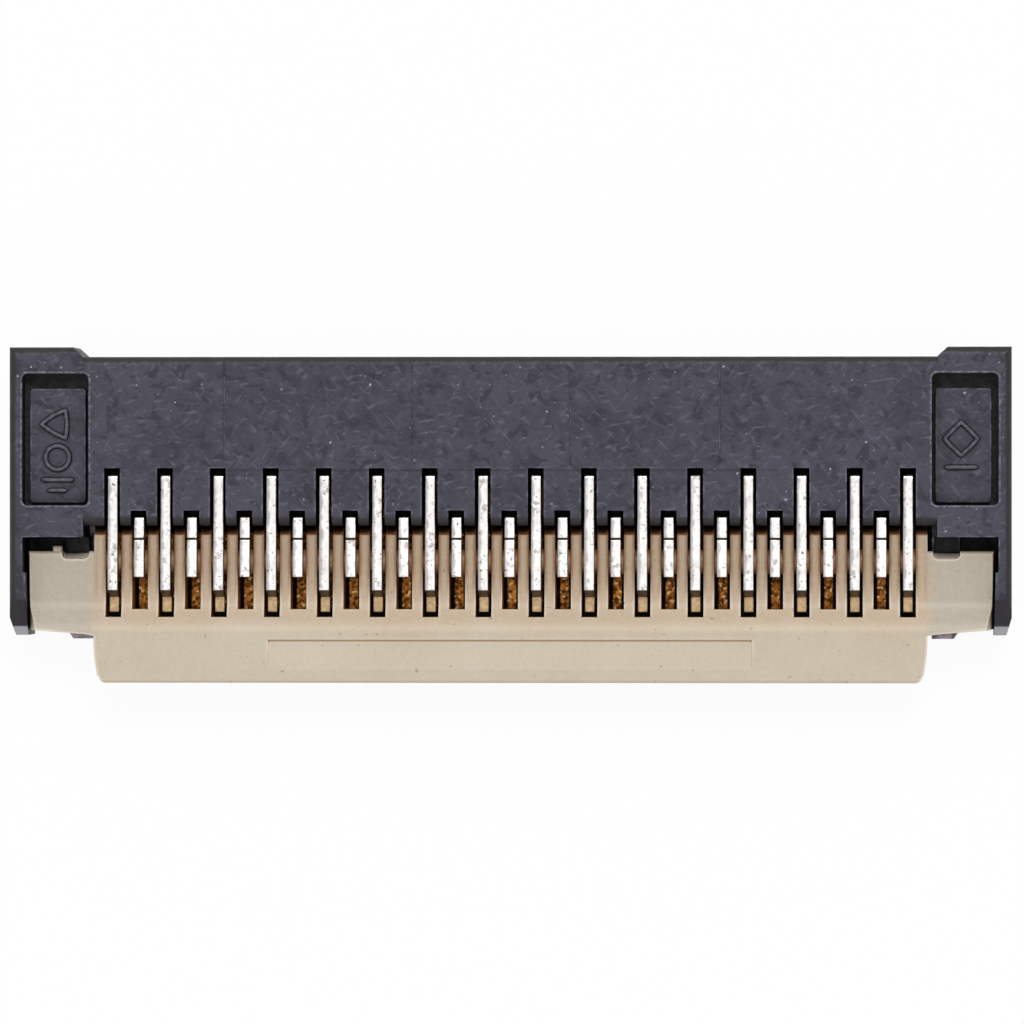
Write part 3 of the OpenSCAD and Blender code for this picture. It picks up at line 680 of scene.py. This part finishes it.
class CONNECTOR_OT_marks(bpy.types.Operator):
    """Plain raised shapes in the pockets with painted dark outlines, pale flash round them, mould lines
    and small pale burrs, their paleness partly painted highlight
    """

    bl_idname = "connector.marks"
    bl_label = "Moulded marks"

    def execute(self, context):
        look = context.scene.connector.marks
        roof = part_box("housing")[1].z
        panel = roof - look.panel_drop
        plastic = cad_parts["housing"].material_slots[0].material
        if plastic is None:
            raise RuntimeError("the housing's finish comes before its marks")

        # Pale speckled plastic for the flash and the burrs: partly wear, partly a painted highlight on
        # edges that catch the light.
        make = Recipe("housing_black_worn_highlit")
        speckle = make.noise(0.05 * MM, 2.0)
        make.set(
            Base_Color=make.mix(make.span(speckle, 0.4, 0.7), paint(66, 65, 76), paint(124, 123, 136)),
            Roughness=make.span(speckle, 0.3, 0.7, 0.4, 0.6),
            Specular_IOR_Level=0.3,
            Normal=make.bump(speckle, 0.003 * MM),
        )
        worn = make.material

        make = Recipe("housing_black_raised")
        speckle = make.noise(0.06 * MM, 2.0)
        # painted shadow: the sides of the raised marks are near black, giving them dark outlines.
        facing = make.sums("ABSOLUTE", make.axes(make.add("NewGeometry").outputs["Normal"])[2])
        top = make.mix(make.span(speckle, 0.35, 0.7), paint(64, 63, 72), paint(96, 95, 106))
        make.set(
            Base_Color=make.mix(make.span(facing, 0.85, 0.5), top, paint(6, 5, 8)),
            Roughness=make.span(speckle, 0.3, 0.7, 0.42, 0.6),
            Specular_IOR_Level=0.3,
            Normal=make.bump(speckle, 0.004 * MM),
        )
        raised = make.material

        left = -5.13 * MM
        right = 5.1 * MM
        stroke, relief = look.stroke, look.relief
        shapes = (
            ("mark_left_triangle",
             polygon_ring(left, 1.03 * MM, 0.14 * MM, 3, 0.8, panel, np.pi / 3), True),
            ("mark_left_ring", polygon_ring(left, 0.65 * MM, 0.135 * MM, 4, 0.0, panel), True),
            ("mark_left_bar_long", straight((left - 0.2 * MM, 0.4 * MM, panel),
                                            (left + 0.2 * MM, 0.4 * MM, panel)), False),
            ("mark_left_bar_short", straight((left - 0.12 * MM, 0.28 * MM, panel),
                                             (left + 0.12 * MM, 0.28 * MM, panel)), False),
            ("mark_right_square",
             polygon_ring(right, 0.86 * MM, 0.16 * MM, 4, 0.9, panel, 0.0), True),
            ("mark_right_bar", straight((right - 0.2 * MM, 0.54 * MM, panel),
                                        (right + 0.2 * MM, 0.54 * MM, panel)), False),
        )
        for name, path, loop in shapes:
            adopt(ridge(name, path, stroke, relief, loop), raised, "base")

        for side, name in ((-1.0, "pocket_flash_left"), (1.0, "pocket_flash_right")):
            x0, x1 = sorted((side * 4.755 * MM, side * 5.535 * MM))
            path = rounded_rectangle(
                x0, 0.095 * MM, x1, 1.615 * MM, 0.07 * MM, roof - 0.004 * MM)
            adopt(ridge(name, path, look.rim, 0.011 * MM, True), worn, "base")

        for number, (x, y0, y1) in enumerate(
                ((-3.226, 0.62, 1.74), (-1.1, 0.6, 1.7), (0.69, 0.55, 1.66), (2.377, 0.58, 1.72)), 1):
            level = roof - 0.003 * MM
            path = straight((x * MM, y0 * MM, level), (x * MM, y1 * MM, level))
            adopt(ridge("mould_line_%d" % number, path, look.line, 0.007 * MM), plastic,
                  "base")

        # The burrs' pale colour is a painted highlight on the notches' edges.
        for number, name in enumerate(SHORT_CONTACTS):
            x = middle(name).x
            centre = (x - 0.112 * MM, 0.12 * MM, roof - 0.004 * MM)
            burr = rounded_block("notch_burr_%02d" % (number + 1), centre,
                                 (0.011 * MM, look.burr / 2, 0.012 * MM), 1.0)
            adopt(burr, worn, "base")
        return {"FINISHED"}


# ---------------------------------------------------------------- the studio


def square(name, half, height):
    """A level square: x and y run over -half..half on a 2 by 2 grid, z is height."""
    u, v = np.meshgrid([-1.0, 1.0], [-1.0, 1.0])
    points = np.stack([u.ravel() * half, v.ravel() * half, np.full(4, height)], axis=1)
    mesh = bpy.data.meshes.new(name)
    mesh.from_pydata(points.tolist(), [], [(0, 1, 3, 2)])
    piece = bpy.data.objects.new(name, mesh)
    bpy.context.scene.collection.objects.link(piece)
    return piece


class CONNECTOR_OT_studio(bpy.types.Operator):
    """Floor, room light, lamps and the camera straight above"""

    bl_idname = "connector.studio"
    bl_label = "Studio"

    def execute(self, context):
        scene = context.scene
        look = scene.connector.studio
        floor = square("studio_floor", 0.25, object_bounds()[0].z - look.floor_gap)
        floor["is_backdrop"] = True
        make = Recipe("studio_floor")
        make.set(Base_Color=(0.95, 0.95, 0.95), Roughness=0.9, Specular_IOR_Level=0.1)
        glow = make.add("Emission")
        glow.inputs["Color"].default_value = (1.0, 1.0, 1.0, 1.0)
        glow.inputs["Strength"].default_value = 1.0
        seen = make.add("LightPath")
        rays = make.sums("MAXIMUM", seen.outputs["Is Camera Ray"], seen.outputs["Is Glossy Ray"])
        rays = make.sums("MAXIMUM", rays, seen.outputs["Is Transmission Ray"])
        blend = make.add("MixShader")
        make.feed(blend.inputs[0], make.sums("MULTIPLY", rays, 0.94))
        make.tree.links.new(make.shader.outputs[0], blend.inputs[1])
        make.tree.links.new(glow.outputs[0], blend.inputs[2])
        one_sided = make.add("MixShader")
        make.feed(one_sided.inputs[0], make.add("NewGeometry").outputs["Backfacing"])
        make.tree.links.new(blend.outputs[0], one_sided.inputs[1])
        make.tree.links.new(make.add("BsdfTransparent").outputs[0], one_sided.inputs[2])
        make.tree.links.new(one_sided.outputs[0], make.out.inputs["Surface"])
        floor.data.materials.append(make.material)

        world = bpy.data.worlds.new("studio_room")
        scene.world = world
        world.use_nodes = True
        tree = world.node_tree
        tree.nodes.clear()
        seen = tree.nodes.new("ShaderNodeLightPath")
        either = tree.nodes.new("ShaderNodeMath")
        either.operation = "MAXIMUM"
        tree.links.new(seen.outputs["Is Camera Ray"], either.inputs[0])
        tree.links.new(seen.outputs["Is Transmission Ray"], either.inputs[1])
        every = tree.nodes.new("ShaderNodeMath")
        every.operation = "MAXIMUM"
        tree.links.new(either.outputs[0], every.inputs[0])
        tree.links.new(seen.outputs["Is Glossy Ray"], every.inputs[1])
        room = tree.nodes.new("ShaderNodeBackground")
        room.inputs["Strength"].default_value = look.room
        white = tree.nodes.new("ShaderNodeBackground")
        white.inputs["Color"].default_value = (1.0, 1.0, 1.0, 1.0)
        white.inputs["Strength"].default_value = 1.0
        blend = tree.nodes.new("ShaderNodeMixShader")
        out = tree.nodes.new("ShaderNodeOutputWorld")
        tree.links.new(every.outputs[0], blend.inputs[0])
        tree.links.new(room.outputs[0], blend.inputs[1])
        tree.links.new(white.outputs[0], blend.inputs[2])
        tree.links.new(blend.outputs[0], out.inputs["Surface"])
        room.inputs["Color"].default_value = (1.0, 1.0, 1.0, 1.0)

        for name, strength, aim, spread in (
            ("key_lamp", look.key, (0.12, 0.62, 1.0), 25.0),
            ("fill_lamp", look.key * 0.2, (-0.3, -0.9, 1.2), 60.0),
        ):
            data = bpy.data.lights.new(name, "SUN")
            data.energy = strength
            data.angle = math.radians(spread)
            lamp = bpy.data.objects.new(name, data)
            scene.collection.objects.link(lamp)
            lamp.rotation_mode = "QUATERNION"
            lamp.rotation_quaternion = Vector(aim).to_track_quat("Z", "Y")

        data = bpy.data.cameras.new("camera")
        camera = bpy.data.objects.new("camera", data)
        scene.collection.objects.link(camera)
        scene.camera = camera
        back = Vector((math.sin(look.lean), 0.0, math.cos(look.lean)))
        data.sensor_width = 36.0
        data.lens = 36.0 * look.distance / look.view_width
        data.clip_start = look.distance * 0.05
        data.clip_end = look.distance * 40.0
        camera.location = Vector(look.centre) + back * look.distance
        camera.rotation_euler = (0.0, look.lean, 0.0)
        scene.view_settings.view_transform = "Standard"
        return {"FINISHED"}


# ---------------------------------------------------------------- panel and start


STEPS = (
    CONNECTOR_OT_housing,
    CONNECTOR_OT_actuator,
    CONNECTOR_OT_metal,
    CONNECTOR_OT_marks,
    CONNECTOR_OT_studio,
)


class CONNECTOR_PT_panel(bpy.types.Panel):
    """Settings and steps of the connector"""

    bl_label = "Flat cable connector"
    bl_idname = "CONNECTOR_PT_panel"
    bl_space_type = "VIEW_3D"
    bl_region_type = "UI"
    bl_category = "Connector"

    def draw(self, context):
        settings = context.scene.connector
        for group in ("housing", "actuator", "metal", "marks", "studio"):
            box = self.layout.box()
            box.label(text=group.capitalize())
            values = getattr(settings, group)
            for key in values.__annotations__:
                box.prop(values, key)
        for step in STEPS:
            self.layout.operator(step.bl_idname)


CLASSES = (
    HousingSettings,
    ActuatorSettings,
    MetalSettings,
    MarkSettings,
    StudioSettings,
    ConnectorSettings,
    *STEPS,
    CONNECTOR_PT_panel,
)


def register():
    for item in CLASSES:
        bpy.utils.register_class(item)
    bpy.types.Scene.connector = bpy.props.PointerProperty(type=ConnectorSettings)


def unregister():
    del bpy.types.Scene.connector
    for item in reversed(CLASSES):
        bpy.utils.unregister_class(item)


def main():
    register()
    for step in STEPS:
        group, name = step.bl_idname.split(".")
        getattr(getattr(bpy.ops, group), name)()


if __name__ == "__main__":
    main()
